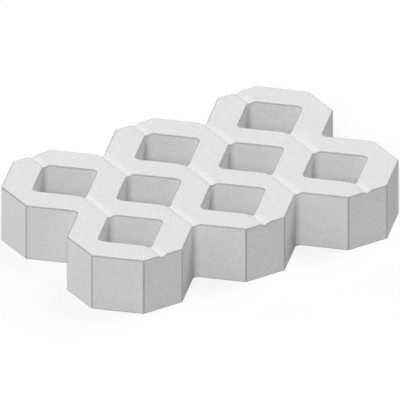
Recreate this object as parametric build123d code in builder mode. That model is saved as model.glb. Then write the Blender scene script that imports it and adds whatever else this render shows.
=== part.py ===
from build123d import *
from math import radians, tan
import os

# A grass paving stone cast in one piece: a slab of eight octagonal cells in rows of three, two
# and three, each with a square opening that stands on its corner. The cells leave a notch between
# them at the slab's edge, which the next stone makes into one more opening. Shallow grooves cross
# the top face. The frame has +X along the length and +Z up, with its origin at the middle of the
# bed face.

# Grid of the cells
CELL_PITCH = 200.0
CELLS_LONG = 3
CELLS_WIDE = 2

# Slab, and the flat face that each cell turns to the slab's edge
THICKNESS = 100.0
END_FACE = 75.5
CORNER_RADIUS = 2.5
ARRIS_RADIUS = 1.5
NOTCH_RADIUS = 9.0

# Opening through each cell
OPENING_SIDE = 89.5
OPENING_RADIUS = 9.0

# Grooves across the top face: width at the top, slope of the banks in degrees, round bottom
GROOVE_WIDTH = 18.0
GROOVE_SLOPE = 25.0
GROOVE_RADIUS = 6.0

# Sizes that follow from the ones above
WIDTH = CELL_PITCH * CELLS_WIDE
CORNER_CUT = (CELL_PITCH - END_FACE) / 2
GROOVE_PITCH = CELL_PITCH / 2
GROOVE_COUNT = 2 * CELLS_LONG - 1

# The cells of the outer rows, and those between them, half a pitch aside
outer_cells = GridLocations(CELL_PITCH, CELL_PITCH, CELLS_LONG, CELLS_WIDE)
middle_cells = GridLocations(CELL_PITCH, CELL_PITCH, CELLS_LONG - 1, CELLS_WIDE - 1)
cells = [*outer_cells, *middle_cells]

# Outline of one cell: a square with its corners cut off
with BuildSketch() as octagon:
    Rectangle(CELL_PITCH, CELL_PITCH)
    chamfer(octagon.vertices(), CORNER_CUT)

# Outline of the slab: the cells joined, with the notches' inner corners more rounded than the rest
with BuildSketch() as outline:
    with Locations(*cells):
        add(octagon.sketch)
    sides = (outline.edges() | Axis.X) + (outline.edges() | Axis.Y)
    outer_corners = sides.vertices()
    notch_corners = outline.vertices() - outer_corners
    fillet(notch_corners, NOTCH_RADIUS)
    fillet(outer_corners, CORNER_RADIUS)

# Cross-section of one groove, drawn on past the top face with the same slope
bank_rise = GROOVE_WIDTH / 2 * tan(radians(GROOVE_SLOPE))
with BuildSketch() as groove:
    Polygon((-GROOVE_WIDTH, bank_rise), (0, -bank_rise), (GROOVE_WIDTH, bank_rise), align=None)
    fillet(groove.vertices().sort_by(Axis.Y)[0], GROOVE_RADIUS)

with BuildPart() as paving_stone:
    # Slab with an opening through each cell
    with BuildSketch():
        add(outline.sketch)
        with Locations(*cells):
            RectangleRounded(
                OPENING_SIDE, OPENING_SIDE, OPENING_RADIUS, rotation=45, mode=Mode.SUBTRACT
            )
    extrude(amount=THICKNESS)

    # Softened arris round the top face and round each opening
    top_face = paving_stone.faces().sort_by(Axis.Z)[-1]
    fillet(top_face.edges(), ARRIS_RADIUS)

    # Grooves through the middle of each cell, from one long side to the other
    with BuildSketch(Plane.XZ.offset(-WIDTH)):
        with Locations((0, THICKNESS)):
            with GridLocations(GROOVE_PITCH, 0, GROOVE_COUNT, 1):
                add(groove.sketch)
    extrude(amount=2 * WIDTH, mode=Mode.SUBTRACT)

os.makedirs("parts", exist_ok=True)
paving_stone.part.label = "paving_stone"
export_step(paving_stone.part, "parts/paving_stone.step")

stone = paving_stone.part
print("volume in litres", round(stone.volume / 1e6, 4), "solids", len(stone.solids()))
print("size", stone.bounding_box().size)
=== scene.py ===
import bpy
import math
import random
from collections import namedtuple
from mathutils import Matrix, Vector, kdtree, noise
from mathutils.geometry import delaunay_2d_cdt


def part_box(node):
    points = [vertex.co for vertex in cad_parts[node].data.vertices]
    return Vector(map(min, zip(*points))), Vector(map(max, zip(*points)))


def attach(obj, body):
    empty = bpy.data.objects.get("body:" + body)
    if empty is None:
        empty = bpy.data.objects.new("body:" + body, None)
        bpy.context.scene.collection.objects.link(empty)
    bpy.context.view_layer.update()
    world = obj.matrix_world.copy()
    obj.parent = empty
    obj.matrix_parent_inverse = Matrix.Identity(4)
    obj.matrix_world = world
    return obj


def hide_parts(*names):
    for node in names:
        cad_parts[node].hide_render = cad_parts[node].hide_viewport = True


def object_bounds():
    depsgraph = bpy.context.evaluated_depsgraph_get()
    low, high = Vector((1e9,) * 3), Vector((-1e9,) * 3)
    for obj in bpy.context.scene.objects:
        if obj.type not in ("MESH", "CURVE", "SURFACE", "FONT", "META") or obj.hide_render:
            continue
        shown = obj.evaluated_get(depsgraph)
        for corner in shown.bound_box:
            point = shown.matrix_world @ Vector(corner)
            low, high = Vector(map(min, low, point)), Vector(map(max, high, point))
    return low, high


# A grass paving stone cast from light grey concrete. Its mesh has the shape and the sizes of the
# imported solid, with the relief and the wear of the cast surface cut into it. Lengths are in metres.

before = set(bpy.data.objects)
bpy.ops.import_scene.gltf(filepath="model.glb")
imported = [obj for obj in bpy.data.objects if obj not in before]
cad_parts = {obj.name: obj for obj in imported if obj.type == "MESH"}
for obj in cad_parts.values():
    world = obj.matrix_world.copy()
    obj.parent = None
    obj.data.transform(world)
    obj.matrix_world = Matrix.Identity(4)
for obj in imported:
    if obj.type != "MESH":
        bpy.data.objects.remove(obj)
cad_low, cad_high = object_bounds()
stone_low, stone_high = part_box("paving_stone")

MM = 0.001

# Camera: the photograph is a parallel projection
VIEW_AZIMUTH = math.radians(-32.63)
VIEW_ELEVATION = math.radians(29.06)
VIEW_WIDTH = 0.6579
VIEW_DISTANCE = 3.0

# Soft lamps: where the light comes from and how wide it spreads, in degrees, and its strength
Lamp = namedtuple("Lamp", "azimuth elevation strength spread")
LAMPS = {
    "key": Lamp(-41, 36, 2.12, 24),
    "left": Lamp(-105, 38, 0.50, 30),
    "low_left": Lamp(-135, 15, 0.96, 30),
    "right": Lamp(92, 47, 2.04, 50),
}
SKY_STRENGTH = 0.1

# Floor: half its side, the grey that takes the stone's shadow, the share of that grey in what
# shows, and the grey that throws light back on the stone
FLOOR_HALF = 6.0
FLOOR_GREY = 0.88
FLOOR_SHADOW = 0.25
FLOOR_BOUNCE = 0.3

# The stone's sizes: the spacing of its cells and its thickness follow from the CAD node's box
COLUMNS = 3
ROWS = 2
SPACING = (stone_high.x - stone_low.x) / COLUMNS
THICKNESS = stone_high.z - stone_low.z
END_FACE = 75.5 * MM
CORNER_CUT = (SPACING - END_FACE) / 2
CORNER_RADIUS = 2.5 * MM
NOTCH_RADIUS = 9 * MM
OPENING_SIDE = 89.5 * MM
OPENING_RADIUS = 9 * MM
GROOVE_WIDTH = 18 * MM
GROOVE_SLOPE = math.radians(25)
GROOVE_RADIUS = 6 * MM
SHOULDER_RADIUS = 6 * MM
TOP_ARRIS = 1.5 * MM
BED_ARRIS = 0.8 * MM

# Spacing of the mesh's points, the closest that two of them come along a run, and how far those
# inside a face keep from its rims, in steps
STEP = 4.5 * MM
BED_STEP = 12 * MM
ARC_STEP = 1.6 * MM
GROOVE_STEP = 1.1 * MM
CLOSEST = 0.4 * MM
RIM_ROOM = 0.55

# Arrises in the mesh: segments round them, width of the strip beside them, and how much of the
# radius of a sharp corner the strip and the arris may take
TOP_SEGMENTS = 3
BED_SEGMENTS = 2
STRIP = 1.6 * MM
STRIP_ROOM = 0.9
ARRIS_ROOM = 0.85

# Slack on the slab's outline, distance at which the triangulation joins points, and how far up a
# normal has to point for its place to count as on the top face
OUTLINE_SLACK = 0.01 * MM
MERGE_DISTANCE = 1e-7
FACING_UP = 0.3

# Relief of the cast faces, always cut into the stone: two sizes of unevenness
SWELL = 42 * MM
SWELL_DEPTH = 0.22 * MM
RIPPLE = 9 * MM
RIPPLE_DEPTH = 0.07 * MM

# Wear of the top arris: how much its width varies over a long and a short distance, and the
# crumbled places along it, with their half length and how much wider the arris gets there
LONG_WEAR = (14 * MM, 0.14)
SHORT_WEAR = (4 * MM, 0.10)
NICK_SPACING = 45 * MM
NICK_HALF_LENGTH = (1.5 * MM, 4.5 * MM)
NICK_WIDENING = (0.1, 0.5)
WIDEST_ARRIS = 1.55 * TOP_ARRIS

# Air holes: how many, their radii, how much small ones prevail, their depth in radii, and how
# uneven their rims are
TOP_HOLES = 46
WALL_HOLES_PER_METRE = 50
HOLE_RADIUS = (0.7 * MM, 1.9 * MM)
SMALL_HOLE_BIAS = 2.2
HOLE_DEPTH = (0.45, 0.9)
HOLE_LEAN = (0.82, 1.18)

# Shape of an air hole: rings of points, each with its reach in radii and its share of the depth,
# the points in a ring, and how far in radii a hole reaches at most
HOLE_RINGS = ((1.35, 0.0), (1.0, 0.12), (0.72, 0.75), (0.38, 0.97))
HOLE_POINTS = 9
HOLE_REACH = 1.6

# How far air holes keep from arrises, from the middle of a groove and from each other, and how
# far the mesh's other points keep from them
HOLE_MARGIN = 5 * MM
GROOVE_MARGIN = 14 * MM
WALL_HOLE_GAP = 2 * MM
TOP_HOLE_GAP = 8 * MM
WALL_POINT_GAP = 0.6 * MM
TOP_POINT_GAP = 0.8 * MM

# Patterns in the concrete: the size of their features, how much they shift the tone of the top
# face and of the walls, and their height in the bump, in millimetres. Noise also has its detail
# and stretch, and specks the share of cells that have one and its radius in cell sizes.
Noise = namedtuple("Noise", "size on_top on_wall height detail stretch")
Specks = namedtuple("Specks", "size on_top on_wall height share radius")
EVEN = (1, 1, 1)
UPRIGHT = (1, 1, 0.1)
CLOUDS = Noise(45 * MM, 0.05, 0.03, 0.0, 3, EVEN)
BLOTCHES = Noise(11 * MM, 0.06, 0.05, 0.0, 3, EVEN)
GRAIN = Noise(3.2 * MM, 0.36, 0.31, 0.30, 2, EVEN)
SAND = Noise(1.1 * MM, 0.36, 0.31, 0.22, 1, EVEN)
STREAKS = Noise(6 * MM, 0.0, 0.035, 0.10, 2, UPRIGHT)
GRIT = Specks(1.7 * MM, -0.12, -0.12, 0.10, 0.45, 0.34)
FLECKS = Specks(3.4 * MM, -0.12, -0.16, 0.08, 0.16, 0.26)
PALE_SPECKS = Specks(4.3 * MM, 0.09, 0.10, 0.06, 0.14, 0.22)
PINHOLES = Specks(2.9 * MM, -0.16, -0.22, -0.30, 0.25, 0.10)
PORES = Specks(5 * MM, -0.20, -0.32, -0.55, 0.3, 0.11)
PATTERNS = (CLOUDS, BLOTCHES, GRAIN, SAND, STREAKS, GRIT, FLECKS, PALE_SPECKS, PINHOLES, PORES)

# The least that a speck reaches and the width of its soft edge, as shares of its pattern's radius
SPECK_LEAST = 0.4
SPECK_EDGE = 0.5

# How far up or down a normal points where a surface starts to count as level, and where it fully
# does
WALL_TO_LEVEL = (0.3, 0.8)

# The concrete itself: its grey, its roughness and how much the blotches vary that, its gloss and
# the strength of its bump
GREY = 0.667
ROUGHNESS = 0.9
ROUGHNESS_RANGE = 0.14
SPECULAR = 0.3
BUMP_STRENGTH = 0.7

# Dirt on the arrises: how far it darkens them, how much the blotches vary that, where it starts
# and is full between 0 off an arris and 1 on it, and how much the grain frays that border
ARRIS_DIRT = 0.42
DIRT_BLOTCHES = 0.35
DIRT_BORDER = (0.2, 1.1)
BORDER_GRAIN = 0.7

# Grooves: how much lighter their colour is painted, a painted highlight standing in for the light on
# their banks, and the depth at which they are fully so
GROOVE_PAINTED_LIGHT = 0.045
GROOVE_PAINTED_LIGHT_DEPTH = 2 * MM

SEED = 7
chance = random.Random(SEED)


def direction(azimuth, elevation):
    """The unit vector from the object towards a viewer at that azimuth and elevation."""
    return Vector((
        math.sin(azimuth) * math.cos(elevation),
        -math.cos(azimuth) * math.cos(elevation),
        math.sin(elevation),
    ))


def make_camera():
    centre = (cad_low + cad_high) / 2
    data = bpy.data.cameras.new("camera")
    data.type = "ORTHO"
    data.ortho_scale = VIEW_WIDTH
    camera = bpy.data.objects.new("camera", data)
    towards = direction(VIEW_AZIMUTH, VIEW_ELEVATION)
    camera.location = centre + towards * VIEW_DISTANCE
    camera.rotation_euler = (-towards).to_track_quat("-Z", "Y").to_euler()
    bpy.context.scene.collection.objects.link(camera)
    bpy.context.scene.camera = camera


def make_lamp(name, lamp):
    data = bpy.data.lights.new(name, "SUN")
    data.energy = lamp.strength
    data.angle = math.radians(lamp.spread)
    placed = bpy.data.objects.new(name, data)
    towards = direction(math.radians(lamp.azimuth), math.radians(lamp.elevation))
    placed.rotation_euler = towards.to_track_quat("Z", "Y").to_euler()
    bpy.context.scene.collection.objects.link(placed)


def seen_directly(nodes, links):
    """1 for rays that show a surface to the camera, straight or by a reflection or through glass."""
    path = nodes.new("ShaderNodeLightPath")
    total = path.outputs["Is Camera Ray"]
    for name in ("Is Glossy Ray", "Is Transmission Ray"):
        larger = nodes.new("ShaderNodeMath")
        larger.operation = "MAXIMUM"
        links.new(total, larger.inputs[0])
        links.new(path.outputs[name], larger.inputs[1])
        total = larger.outputs[0]
    return total


def make_world():
    """A weak even sky, which shows white."""
    world = bpy.data.worlds.new("sky")
    world.use_nodes = True
    nodes, links = world.node_tree.nodes, world.node_tree.links
    background = nodes["Background"]
    background.inputs["Color"].default_value = (1, 1, 1, 1)
    strength = nodes.new("ShaderNodeMix")
    strength.data_type = "FLOAT"
    strength.inputs["A"].default_value = SKY_STRENGTH
    strength.inputs["B"].default_value = 1.0
    links.new(seen_directly(nodes, links), strength.inputs["Factor"])
    links.new(strength.outputs["Result"], background.inputs["Strength"])
    bpy.context.scene.world = world


def make_floor():
    """A floor that shows white with a faint shadow, and throws little light back."""
    half = FLOOR_HALF
    mesh = bpy.data.meshes.new("floor")
    corners = [(-half, -half, 0), (half, -half, 0), (half, half, 0), (-half, half, 0)]
    mesh.from_pydata(corners, [], [(0, 1, 2, 3)])
    floor = bpy.data.objects.new("floor", mesh)
    bpy.context.scene.collection.objects.link(floor)
    material = bpy.data.materials.new("floor")
    material.use_nodes = True
    nodes, links = material.node_tree.nodes, material.node_tree.links
    nodes.clear()
    output = nodes.new("ShaderNodeOutputMaterial")
    shadowed = nodes.new("ShaderNodeBsdfDiffuse")
    shadowed.inputs["Color"].default_value = (FLOOR_GREY, FLOOR_GREY, FLOOR_GREY, 1)
    glow = nodes.new("ShaderNodeEmission")
    bounce = nodes.new("ShaderNodeBsdfDiffuse")
    bounce.inputs["Color"].default_value = (FLOOR_BOUNCE, FLOOR_BOUNCE, FLOOR_BOUNCE, 1)
    shown = nodes.new("ShaderNodeMixShader")
    shown.inputs["Fac"].default_value = FLOOR_SHADOW
    links.new(glow.outputs[0], shown.inputs[1])
    links.new(shadowed.outputs[0], shown.inputs[2])
    choice = nodes.new("ShaderNodeMixShader")
    links.new(seen_directly(nodes, links), choice.inputs["Fac"])
    links.new(bounce.outputs[0], choice.inputs[1])
    links.new(shown.outputs[0], choice.inputs[2])
    links.new(choice.outputs[0], output.inputs["Surface"])
    floor.data.materials.append(material)


def to_left(v):
    return Vector((-v.y, v.x))


def bend(before, corner, after, radius, step):
    """Points and right-hand normals round one rounded corner, and whether it turns left."""
    arriving = (corner - before).normalized()
    leaving = (after - corner).normalized()
    turn = math.atan2(arriving.x * leaving.y - arriving.y * leaving.x, arriving.dot(leaving))
    side = math.copysign(1, turn)
    start = corner - arriving * radius * math.tan(abs(turn) / 2)
    centre = start + to_left(arriving) * radius * side
    count = max(2, math.ceil(abs(turn) * radius / step))
    points = []
    for k in range(count + 1):
        angle = turn * k / count
        cos, sin = math.cos(angle), math.sin(angle)
        along = Vector((arriving.x * cos - arriving.y * sin, arriving.x * sin + arriving.y * cos))
        normal = -to_left(along)
        points.append((centre + normal * radius * side, normal))
    return points, turn > 0


def groove_section():
    """The cross-section of one groove, as points across it: distance from its middle, and height."""
    half = GROOVE_WIDTH / 2
    rise = half * math.tan(GROOVE_SLOPE)
    far = Vector((2 * half, 0))
    shoulder = Vector((half, 0))
    bottom = Vector((0, -rise))
    mirrored = Vector((-half, 0))
    left = bend(-far, mirrored, bottom, SHOULDER_RADIUS, GROOVE_STEP)[0]
    middle = bend(mirrored, bottom, shoulder, GROOVE_RADIUS, GROOVE_STEP)[0]
    right = bend(bottom, shoulder, far, SHOULDER_RADIUS, GROOVE_STEP)[0]
    return [point for point, _ in left + middle + right]


SECTION = groove_section()
GROOVES = [SPACING / 2 * k for k in range(1 - COLUMNS, COLUMNS)]
GROOVE_LINES = [groove + point.x for groove in GROOVES for point in SECTION]


def groove_height(x):
    """Height of the top face at x above its flat parts: negative in a groove."""
    nearest = min(GROOVES, key=lambda groove: abs(x - groove))
    across = x - nearest
    for first, second in zip(SECTION, SECTION[1:]):
        if first.x <= across <= second.x:
            share = (across - first.x) / (second.x - first.x)
            return first.y + share * (second.y - first.y)
    return 0.0


def cell_centres():
    outer = [
        Vector((SPACING * (i - (COLUMNS - 1) / 2), SPACING * (j - (ROWS - 1) / 2)))
        for i in range(COLUMNS) for j in range(ROWS)
    ]
    middle = [Vector((SPACING * (i - (COLUMNS - 2) / 2), 0)) for i in range(COLUMNS - 1)]
    return outer + middle


CELLS = cell_centres()


def outline_corners():
    """Corners of the slab's outline, anticlockwise: a flat for each cell and a notch between two."""
    corners = []
    sides = [(COLUMNS, ROWS), (ROWS, COLUMNS), (COLUMNS, ROWS), (ROWS, COLUMNS)]
    for turn, (count, depth) in enumerate(sides):
        for k in range(count):
            middle = SPACING * (k - (count - 1) / 2)
            edge = -SPACING * depth / 2
            flat = [Vector((middle - END_FACE / 2, edge)), Vector((middle + END_FACE / 2, edge))]
            run = [(point, CORNER_RADIUS) for point in flat]
            if k < count - 1:
                run.append((Vector((middle + SPACING / 2, edge + CORNER_CUT)), NOTCH_RADIUS))
            for point, radius in run:
                for _ in range(turn):
                    point = to_left(point)
                corners.append((point, radius))
    return corners


def opening_corners(centre):
    """Corners of the square opening through a cell, clockwise, from the one on the left."""
    reach = OPENING_SIDE / math.sqrt(2)
    around = [Vector((-reach, 0)), Vector((0, reach)), Vector((reach, 0)), Vector((0, -reach))]
    return [(centre + point, OPENING_RADIUS) for point in around]


def run_points(start, end):
    """Points between two ends of a straight run: beside its ends, on the grooves' lines and between."""
    length = (end - start).length
    along = (end - start) / length
    marks = {0.0, STRIP, length - STRIP, length}
    # A run along the grooves crosses none of their lines
    if along.x:
        marks |= {(line - start.x) / along.x for line in GROOVE_LINES}
    marks = sorted(mark for mark in marks if 0 <= mark <= length)
    kept = [marks[0]]
    for mark in marks[1:]:
        if mark - kept[-1] > CLOSEST:
            kept.append(mark)
    kept[-1] = length
    places = []
    for first, second in zip(kept, kept[1:]):
        parts = max(1, math.ceil((second - first) / STEP))
        places += [first + (second - first) * k / parts for k in range(parts)]
    return [start + along * place for place in places[1:]]


class Loop:
    """A closed line round the slab or round an opening, with the stone on its left.

    Each point has its normal out of the stone, 1 in sharp on the bend of an outer corner, and in
    room how far in from it the rings may go.
    """

    def __init__(self, corners):
        self.points, self.normals, self.sharp, self.room = [], [], [], []
        places = [place for place, radius in corners]
        bends = [
            bend(places[k - 1], place, places[(k + 1) % len(places)], radius, ARC_STEP)
            for k, (place, radius) in enumerate(corners)
        ]
        for k, (arc, convex) in enumerate(bends):
            room = corners[k][1] * STRIP_ROOM if convex else math.inf
            for point, normal in arc:
                self.add(point, normal, 1.0 if convex else 0.0, room)
            next_arc = bends[(k + 1) % len(bends)][0]
            for point in run_points(arc[-1][0], next_arc[0][0]):
                self.add(point, arc[-1][1], 0.0, math.inf)
        self.count = len(self.points)
        self.stations = [0.0]
        for k in range(self.count):
            side = (self.points[(k + 1) % self.count] - self.points[k]).length
            self.stations.append(self.stations[-1] + side)
        self.length = self.stations[-1]
        self.sharp_stations = [station for station, sharp in zip(self.stations, self.sharp) if sharp]
        self.nicks = self.make_nicks()

    def add(self, point, normal, sharp, room):
        self.points.append(point)
        self.normals.append(normal)
        self.sharp.append(sharp)
        self.room.append(room)

    def make_nicks(self):
        """Small crumbled places on the top arris: station, half length and how much wider it gets."""
        nicks = []
        for _ in range(int(self.length / NICK_SPACING)):
            station = chance.uniform(0, self.length)
            half = chance.uniform(*NICK_HALF_LENGTH)
            nicks.append((station, half, chance.uniform(*NICK_WIDENING)))
        return nicks

    def wear(self, k):
        """How wide the top arris is at a point."""
        place = self.points[k].to_3d()
        width = 1.0
        for size, share in (LONG_WEAR, SHORT_WEAR):
            width += share * noise.noise(place / size)
        for station, half, extra in self.nicks:
            away = abs(self.stations[k] - station) / half
            if away < 1:
                width += extra * (1 - away * away)
        return min(width * TOP_ARRIS, WIDEST_ARRIS, ARRIS_ROOM * self.room[k])

    def at(self, station):
        """Point and normal at a station along the loop."""
        low, high = 0, self.count
        while high - low > 1:
            middle = (low + high) // 2
            if self.stations[middle] <= station:
                low = middle
            else:
                high = middle
        share = (station - self.stations[low]) / (self.stations[high] - self.stations[low])
        after = high % self.count
        point = self.points[low].lerp(self.points[after], share)
        return point, self.normals[low].lerp(self.normals[after], share).normalized()


def in_stone(point):
    """Whether a point of the plan is in the slab and clear of its openings."""
    half, reach = SPACING / 2, OPENING_SIDE / math.sqrt(2)
    diagonal = SPACING - CORNER_CUT
    inside = False
    for cell in CELLS:
        x, y = abs(point.x - cell.x), abs(point.y - cell.y)
        if x + y < reach:
            return False
        inside = inside or (max(x, y) < half + OUTLINE_SLACK and x + y < diagonal)
    return inside


def fill(flat, rims):
    """Triangles over the flat points within the rims, which have the surface on their left."""
    fences = [(rim[k], rim[(k + 1) % len(rim)]) for rim in rims for k in range(len(rim))]
    _, _, triangles, origin, _, _ = delaunay_2d_cdt(flat, fences, [], 0, MERGE_DISTANCE)
    triangles = [[origin[v][0] for v in triangle] for triangle in triangles]
    owner = {}
    for k, (a, b, c) in enumerate(triangles):
        for side in ((a, b), (b, c), (c, a)):
            owner[side] = k
    closed = set(fences)
    reached = {owner[fence] for fence in fences if fence in owner}
    waiting = list(reached)
    while waiting:
        a, b, c = triangles[waiting.pop()]
        for side in ((a, b), (b, c), (c, a)):
            across = owner.get(side[::-1])
            if side not in closed and across is not None and across not in reached:
                reached.add(across)
                waiting.append(across)
    return [triangles[k] for k in sorted(reached)]


class Surface:
    """The stone's skin while it is put together: points, faces and what the material reads."""

    def __init__(self):
        self.points, self.faces = [], []
        self.arris, self.groove = [], []

    def add(self, place, normal, arris=0.0, sunk=0.0):
        """A point of the skin, set back along its normal by the relief and by sunk."""
        swell = 1 + noise.noise(place / SWELL)
        ripple = 1 + noise.noise(place / RIPPLE)
        depth = swell * SWELL_DEPTH / 2 + ripple * RIPPLE_DEPTH / 2 + sunk
        self.points.append(place - normal * depth)
        # How deep the point lies in a groove: the mask of the grooves' painted highlight
        depth_in_groove = -groove_height(place.x) if normal.z > FACING_UP else 0.0
        self.groove.append(min(1.0, depth_in_groove / GROOVE_PAINTED_LIGHT_DEPTH))
        self.arris.append(arris)
        return len(self.points) - 1

    def band(self, lower, upper):
        """Quads between two rings of equally many points."""
        count = len(lower)
        for k in range(count):
            after = (k + 1) % count
            self.faces.append((lower[k], lower[after], upper[after], upper[k]))


def arris_stages(width, segments):
    """Stages round an arris, from the wall: inset, distance from the end face, and angle."""
    stages = []
    for k in range(segments + 1):
        angle = math.pi / 2 * k / segments
        stages.append((width * (1 - math.cos(angle)), width * (1 - math.sin(angle)), angle))
    return stages


def top_rings(skin, loop):
    """Rings from the top of the wall over the arris onto the top face, with one beyond each end."""
    rings = [[] for _ in range(TOP_SEGMENTS + 3)]
    for k, (point, normal) in enumerate(zip(loop.points, loop.normals)):
        width = loop.wear(k)
        side = Vector((normal.x, normal.y, 0))
        stages = arris_stages(width, TOP_SEGMENTS)
        places = [(0.0, width + STRIP, 0.0, loop.sharp[k])]
        places += [(inset, drop, angle, 1.0) for inset, drop, angle in stages]
        places.append((width + STRIP, 0.0, math.pi / 2, 0.0))
        for ring, (inset, drop, angle, arris) in zip(rings, places):
            flat = point - normal * min(inset, loop.room[k])
            height = THICKNESS + groove_height(flat.x) - drop
            facing = side * math.cos(angle) + Vector((0, 0, math.sin(angle)))
            ring.append(skin.add(Vector((flat.x, flat.y, height)), facing, arris))
    return rings


def bed_rings(skin, loop):
    """Rings from the bed face over its arris to the foot of the wall, with one beyond each end."""
    rings = [[] for _ in range(BED_SEGMENTS + 3)]
    for k, (point, normal) in enumerate(zip(loop.points, loop.normals)):
        side = Vector((normal.x, normal.y, 0))
        stages = arris_stages(BED_ARRIS, BED_SEGMENTS)
        places = [(BED_ARRIS + STRIP, 0.0, math.pi / 2, 0.0)]
        places += [(inset, rise, angle, 1.0) for inset, rise, angle in reversed(stages)]
        places.append((0.0, BED_ARRIS + STRIP, 0.0, loop.sharp[k]))
        for ring, (inset, rise, angle, arris) in zip(rings, places):
            flat = point - normal * min(inset, loop.room[k])
            facing = side * math.cos(angle) - Vector((0, 0, math.sin(angle)))
            ring.append(skin.add(Vector((flat.x, flat.y, rise)), facing, arris))
    return rings


def hole_points(centre, radius, depth):
    """Flat points of one air hole, each with its depth."""
    points = [(centre, depth)]
    lean = [chance.uniform(*HOLE_LEAN) for _ in range(HOLE_POINTS)]
    for spread, share in HOLE_RINGS:
        for k in range(HOLE_POINTS):
            angle = 2 * math.pi * k / HOLE_POINTS
            reach = radius * spread * lean[k]
            place = centre + Vector((math.cos(angle), math.sin(angle))) * reach
            points.append((place, depth * share))
    return points


def draw_hole():
    """Radius and depth of an air hole; small ones are the most common."""
    low, high = HOLE_RADIUS
    radius = low + (high - low) * chance.random() ** SMALL_HOLE_BIAS
    return radius, radius * chance.uniform(*HOLE_DEPTH)


def clear_of(point, holes, margin):
    """Whether a point is further than the margin from the rims of all the holes."""
    return all((point - centre).length > radius * HOLE_REACH + margin for centre, radius, _ in holes)


def wall_holes(loop, lowest, highest):
    """Air holes of a wall between two heights, clear of each other and of the sharp corners."""
    holes = []
    for _ in range(round(loop.length * WALL_HOLES_PER_METRE)):
        radius, depth = draw_hole()
        station = chance.uniform(HOLE_MARGIN, loop.length - HOLE_MARGIN)
        centre = Vector((station, chance.uniform(lowest, highest)))
        at_corner = any(abs(station - corner) < HOLE_MARGIN for corner in loop.sharp_stations)
        if not at_corner and clear_of(centre, holes, WALL_HOLE_GAP):
            holes.append((centre, radius, depth))
    return holes


def top_holes(clearance):
    """Air holes of the top face, clear of each other, of the grooves and of the arrises."""
    holes = []
    while len(holes) < TOP_HOLES:
        centre = Vector((
            chance.uniform(stone_low.x, stone_high.x),
            chance.uniform(stone_low.y, stone_high.y),
        ))
        radius, depth = draw_hole()
        if not in_stone(centre) or clearance(centre) < HOLE_MARGIN:
            continue
        if min(abs(centre.x - groove) for groove in GROOVES) < GROOVE_MARGIN:
            continue
        if clear_of(centre, holes, TOP_HOLE_GAP):
            holes.append((centre, radius, depth))
    return holes


def wall(skin, loop, lower, upper):
    """The upright wall of a loop between two rings, laid out flat as station and height."""
    count = loop.count
    bottom = [skin.points[v].z for v in lower]
    top = [skin.points[v].z for v in upper]
    rows = round((THICKNESS - 2 * STRIP) / STEP)
    holes = wall_holes(loop, max(bottom) + HOLE_MARGIN, min(top) - HOLE_MARGIN)
    flat, names = [], []

    def lay(station, height, name):
        flat.append(Vector((station, height)))
        names.append(name)
        return len(flat) - 1

    def add(place, height, sharp, sunk):
        point, normal = place
        return skin.add(Vector((point.x, point.y, height)), normal.to_3d(), sharp, sunk)

    grid = []
    for row in range(rows + 1):
        heights = [low + (high - low) * row / rows for low, high in zip(bottom, top)]
        ring = {0: lower, rows: upper}.get(row)
        if ring is None:
            ring = []
            for k, place in enumerate(zip(loop.points, loop.normals)):
                spot = Vector((loop.stations[k], heights[k]))
                free = k == 0 or clear_of(spot, holes, WALL_POINT_GAP)
                ring.append(add(place, heights[k], loop.sharp[k], 0.0) if free else None)
        # The first point of each ring closes its row as well
        line = zip(loop.stations, heights + heights[:1], ring + ring[:1])
        grid.append([lay(station, height, name) for station, height, name in line if name is not None])
    for centre, radius, depth in holes:
        for place, sunk in hole_points(centre, radius, depth):
            lay(place.x, place.y, add(loop.at(place.x), place.y, 0.0, sunk))
    left, right = [line[0] for line in grid], [line[-1] for line in grid]
    rim = grid[0] + right[1:] + grid[-1][-2::-1] + left[-2:0:-1]
    for triangle in fill(flat, [rim]):
        skin.faces.append(tuple(names[v] for v in triangle))


def spread(low, high, step, fixed=()):
    """Values from low to high about a step apart, through all the fixed ones."""
    marks = sorted({low, high, *(value for value in fixed if low < value < high)})
    values = []
    for first, second in zip(marks, marks[1:]):
        parts = max(1, round((second - first) / step))
        values += [first + (second - first) * k / parts for k in range(parts)]
    return values + [high]


def face(skin, rings, step, lines, upward):
    """The top or the bed face, between the last rings round the slab and the openings."""
    flat, names, rims = [], [], []
    for ring in rings:
        start = len(flat)
        flat += [skin.points[v].xy for v in ring]
        names += ring
        rims.append(list(range(start, start + len(ring))))
    tree = kdtree.KDTree(len(flat))
    for k, point in enumerate(flat):
        tree.insert(point.to_3d(), k)
    tree.balance()

    def clearance(point):
        return tree.find(point.to_3d())[2]

    def add(place, sunk=0.0):
        height = THICKNESS + groove_height(place.x) if upward else 0.0
        flat.append(place)
        names.append(skin.add(Vector((place.x, place.y, height)), facing, 0.0, sunk))

    facing = Vector((0, 0, 1 if upward else -1))
    holes = top_holes(clearance) if upward else []
    for x in spread(stone_low.x, stone_high.x, step, lines):
        for y in spread(stone_low.y, stone_high.y, step):
            place = Vector((x, y))
            if not in_stone(place) or clearance(place) < RIM_ROOM * step:
                continue
            if clear_of(place, holes, TOP_POINT_GAP):
                add(place)
    for centre, radius, depth in holes:
        for place, sunk in hole_points(centre, radius, depth):
            add(place, sunk)
    for triangle in fill(flat, rims):
        corners = [names[v] for v in triangle]
        skin.faces.append(tuple(corners if upward else corners[::-1]))


def make_skin():
    skin = Surface()
    loops = [Loop(outline_corners())] + [Loop(opening_corners(cell)) for cell in CELLS]
    tops, beds = [], []
    for loop in loops:
        bed = bed_rings(skin, loop)
        top = top_rings(skin, loop)
        for rings in (bed, top):
            for lower, upper in zip(rings, rings[1:]):
                skin.band(lower, upper)
        wall(skin, loop, bed[-1], top[0])
        tops.append(top[-1])
        beds.append(bed[0])
    face(skin, tops, STEP, GROOVE_LINES, True)
    face(skin, beds, BED_STEP, (), False)
    return skin


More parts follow.
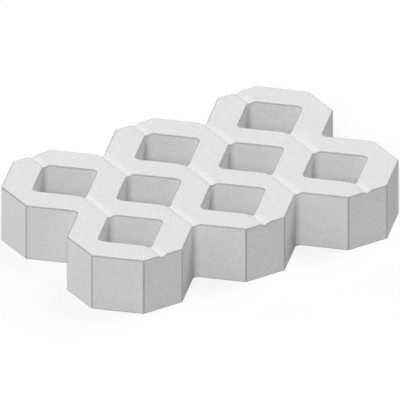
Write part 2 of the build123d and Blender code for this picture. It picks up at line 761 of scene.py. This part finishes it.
class Shades:
    """Numbers that vary over a surface, built from shader nodes."""

    def __init__(self, tree):
        self.nodes, self.links = tree.nodes, tree.links
        self.place = self.nodes.new("ShaderNodeTexCoord").outputs["Object"]

    def number(self, kind, *values):
        """A Math node on numbers or outputs."""
        step = self.nodes.new("ShaderNodeMath")
        step.operation = kind
        for socket, value in zip(step.inputs, values):
            if isinstance(value, (int, float)):
                socket.default_value = value
            else:
                self.links.new(value, socket)
        return step.outputs[0]

    def ramp(self, value, low, high):
        """0 at low, 1 at high, smooth between."""
        mapped = self.nodes.new("ShaderNodeMapRange")
        mapped.interpolation_type = "SMOOTHSTEP"
        self.links.new(value, mapped.inputs["Value"])
        mapped.inputs["From Min"].default_value = low
        mapped.inputs["From Max"].default_value = high
        return mapped.outputs[0]

    def noise(self, pattern):
        """Noise about 0."""
        mapping = self.nodes.new("ShaderNodeMapping")
        mapping.inputs["Scale"].default_value = pattern.stretch
        self.links.new(self.place, mapping.inputs["Vector"])
        texture = self.nodes.new("ShaderNodeTexNoise")
        texture.inputs["Scale"].default_value = 1 / pattern.size
        texture.inputs["Detail"].default_value = pattern.detail
        self.links.new(mapping.outputs[0], texture.inputs["Vector"])
        return self.number("SUBTRACT", texture.outputs["Fac"], 0.5)

    def specks(self, pattern):
        """Scattered round specks, 1 inside and 0 outside."""
        cells = self.nodes.new("ShaderNodeTexVoronoi")
        cells.inputs["Scale"].default_value = 1 / pattern.size
        self.links.new(self.place, cells.inputs["Vector"])
        split = self.nodes.new("ShaderNodeSeparateColor")
        self.links.new(cells.outputs["Color"], split.inputs[0])
        chosen = self.number("LESS_THAN", split.outputs[0], pattern.share)
        radius = pattern.radius
        reach = self.number("MULTIPLY_ADD", split.outputs[1], radius, radius * SPECK_LEAST)
        near = self.number("SUBTRACT", reach, cells.outputs["Distance"])
        return self.number("MULTIPLY", chosen, self.ramp(near, 0.0, radius * SPECK_EDGE))

    def attribute(self, name):
        reader = self.nodes.new("ShaderNodeAttribute")
        reader.attribute_name = name
        return reader.outputs["Fac"]

    def upright(self):
        """1 on walls, 0 on level faces."""
        normal = self.nodes.new("ShaderNodeSeparateXYZ")
        self.links.new(self.nodes.new("ShaderNodeNewGeometry").outputs["Normal"], normal.inputs[0])
        level = self.ramp(self.number("ABSOLUTE", normal.outputs[2]), *WALL_TO_LEVEL)
        return self.number("SUBTRACT", 1.0, level)


def make_concrete():
    """Fine grey concrete: cloudy in large, sandy in small, with flecks, pores and dirty arrises."""
    material = bpy.data.materials.new("concrete")
    material.use_nodes = True
    nodes, links = material.node_tree.nodes, material.node_tree.links
    shader = nodes["Principled BSDF"]
    shades = Shades(material.node_tree)
    number = shades.number

    upright = shades.upright()
    values = {}
    tone, height = 1.0, 0.0
    for pattern in PATTERNS:
        value = shades.noise(pattern) if isinstance(pattern, Noise) else shades.specks(pattern)
        values[pattern] = value
        amount = number("MULTIPLY_ADD", upright, pattern.on_wall - pattern.on_top, pattern.on_top)
        tone = number("MULTIPLY_ADD", value, amount, tone)
        if pattern.height:
            height = number("MULTIPLY_ADD", value, pattern.height, height)

    # Dirt along the arrises, a little uneven in width and tone
    border = number("MULTIPLY_ADD", values[GRAIN], BORDER_GRAIN, shades.attribute("arris"))
    dirt = number("MULTIPLY_ADD", values[BLOTCHES], DIRT_BLOTCHES, ARRIS_DIRT)
    dirt = number("MULTIPLY", dirt, shades.ramp(border, *DIRT_BORDER))
    tone = number("SUBTRACT", tone, dirt)
    # Painted highlight: the grooves' colour is made lighter with their depth, in place of the light on
    # their banks
    tone = number("MULTIPLY_ADD", shades.attribute("groove"), GROOVE_PAINTED_LIGHT, tone)

    grey = nodes.new("ShaderNodeCombineColor")
    level = number("MULTIPLY", tone, GREY)
    for socket in grey.inputs:
        links.new(level, socket)
    links.new(grey.outputs[0], shader.inputs["Base Color"])

    roughness = number("MULTIPLY_ADD", values[BLOTCHES], ROUGHNESS_RANGE, ROUGHNESS)
    links.new(roughness, shader.inputs["Roughness"])
    shader.inputs["Specular IOR Level"].default_value = SPECULAR

    bump = nodes.new("ShaderNodeBump")
    bump.inputs["Distance"].default_value = MM
    bump.inputs["Strength"].default_value = BUMP_STRENGTH
    links.new(height, bump.inputs["Height"])
    links.new(bump.outputs[0], shader.inputs["Normal"])
    return material


def make_stone():
    skin = make_skin()
    used = sorted({v for corners in skin.faces for v in corners})
    number = {v: k for k, v in enumerate(used)}
    faces = [[number[v] for v in corners] for corners in skin.faces]
    mesh = bpy.data.meshes.new("cast_stone")
    mesh.from_pydata([skin.points[v] for v in used], [], faces)
    for name, values in (("arris", skin.arris), ("groove", skin.groove)):
        layer = mesh.attributes.new(name, "FLOAT", "POINT")
        layer.data.foreach_set("value", [values[v] for v in used])
    mesh.shade_smooth()
    mesh.materials.append(make_concrete())
    stone = bpy.data.objects.new("cast_stone", mesh)
    bpy.context.scene.collection.objects.link(stone)
    stone.modifiers.new("flat faces", "WEIGHTED_NORMAL")
    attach(stone, "root")
    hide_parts("paving_stone")
    triangles = sum(len(polygon.vertices) - 2 for polygon in mesh.polygons)
    print("stone:", len(mesh.vertices), "points,", triangles, "triangles")


make_camera()
make_world()
make_floor()
for lamp_name, lamp_settings in LAMPS.items():
    make_lamp(lamp_name, lamp_settings)
make_stone()

bpy.context.scene.view_settings.view_transform = "Standard"
